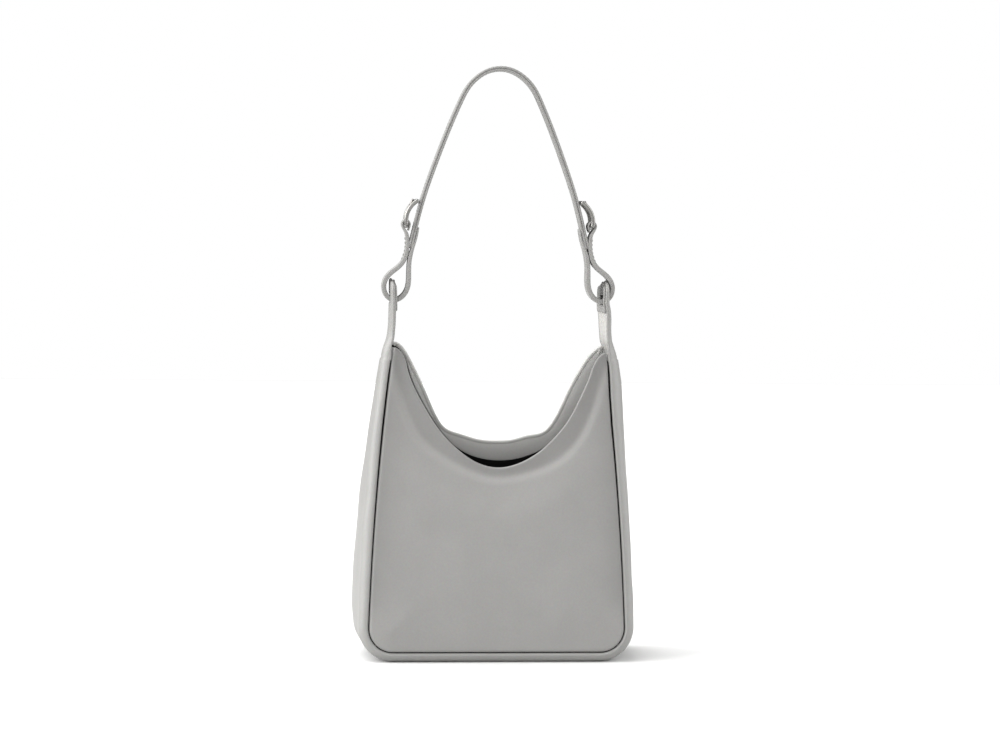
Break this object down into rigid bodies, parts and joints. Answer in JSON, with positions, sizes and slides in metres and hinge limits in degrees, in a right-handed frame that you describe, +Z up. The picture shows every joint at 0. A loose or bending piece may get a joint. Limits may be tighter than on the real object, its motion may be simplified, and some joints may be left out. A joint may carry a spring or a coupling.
{
  "type": "hobo bag",
  "caption": "Small leather shoulder bag with a dipped open mouth, a boxed side strip, folding necks and a buckled arch strap.",
  "frame": {"origin": "on the ground under the middle of the base", "axes": "+X to the wearer's view of the bag's right, -Y out of the front panel, +Z up"},
  "size_m": [0.2348, 0.0802, 0.5051],
  "materials": {
    "shell_leather": "smooth satin",
    "gusset_leather": "smooth satin",
    "facing_leather": "smooth satin",
    "strap_leather": "smooth satin",
    "strap_back_leather": "smooth satin",
    "lining_cloth": "matt twill",
    "board": "cloth-covered board",
    "snap_metal": "plated",
    "buckle_metal": "polished nickel"
  },
  "bodies": {
    "bag": {"front_panel": "shell_leather", "back_panel": "shell_leather", "gusset": "gusset_leather", "front_facing": "facing_leather", "back_facing": "facing_leather", "front_lining": "lining_cloth", "back_lining": "lining_cloth", "gusset_lining": "lining_cloth", "base_board": "board", "snap_stud": "snap_metal", "snap_socket": "snap_metal"},
    "necks": {"left_neck": "gusset_leather", "right_neck": "gusset_leather", "left_neck_patch": "gusset_leather", "right_neck_patch": "gusset_leather"},
    "strap": {"left_link_strap": "strap_leather", "right_link_strap": "strap_leather", "strap_outer_ply": "strap_leather", "strap_inner_ply": "strap_back_leather"},
    "left_buckle": {"left_buckle_frame": "buckle_metal"},
    "right_buckle": {"right_buckle_frame": "buckle_metal"},
    "left_prong": {"left_buckle_prong": "buckle_metal"},
    "right_prong": {"right_buckle_prong": "buckle_metal"}
  },
  "joints": [
    {"name": "neck_fold", "type": "hinge", "parent": "bag", "child": "necks", "pos_m": [0, 0, 0.279], "axis": [1, 0, 0], "range_deg": [-85, 85]},
    {"name": "strap_fold", "type": "hinge", "parent": "necks", "child": "strap", "pos_m": [0, 0, 0.343], "axis": [1, 0, 0], "range_deg": [-85, 85], "deforming": ["left_link_strap", "right_link_strap"]},
    {"name": "left_buckle_tilt", "type": "hinge", "parent": "strap", "child": "left_buckle", "pos_m": [-0.0794, 0, 0.3705], "axis": [0, -1, 0], "range_deg": [0, 25]},
    {"name": "right_buckle_tilt", "type": "hinge", "parent": "strap", "child": "right_buckle", "pos_m": [0.0794, 0, 0.3705], "axis": [0, 1, 0], "range_deg": [0, 25]},
    {"name": "left_prong_turn", "type": "hinge", "parent": "left_buckle", "child": "left_prong", "pos_m": [-0.0794, 0, 0.3705], "axis": [0, -1, 0], "range_deg": [0, 75]},
    {"name": "right_prong_turn", "type": "hinge", "parent": "right_buckle", "child": "right_prong", "pos_m": [0.0794, 0, 0.3705], "axis": [0, 1, 0], "range_deg": [0, 75]}
  ],
  "couplings": [
    {"joint": "strap_fold", "follows": "neck_fold", "ratio": 1}
  ]
}
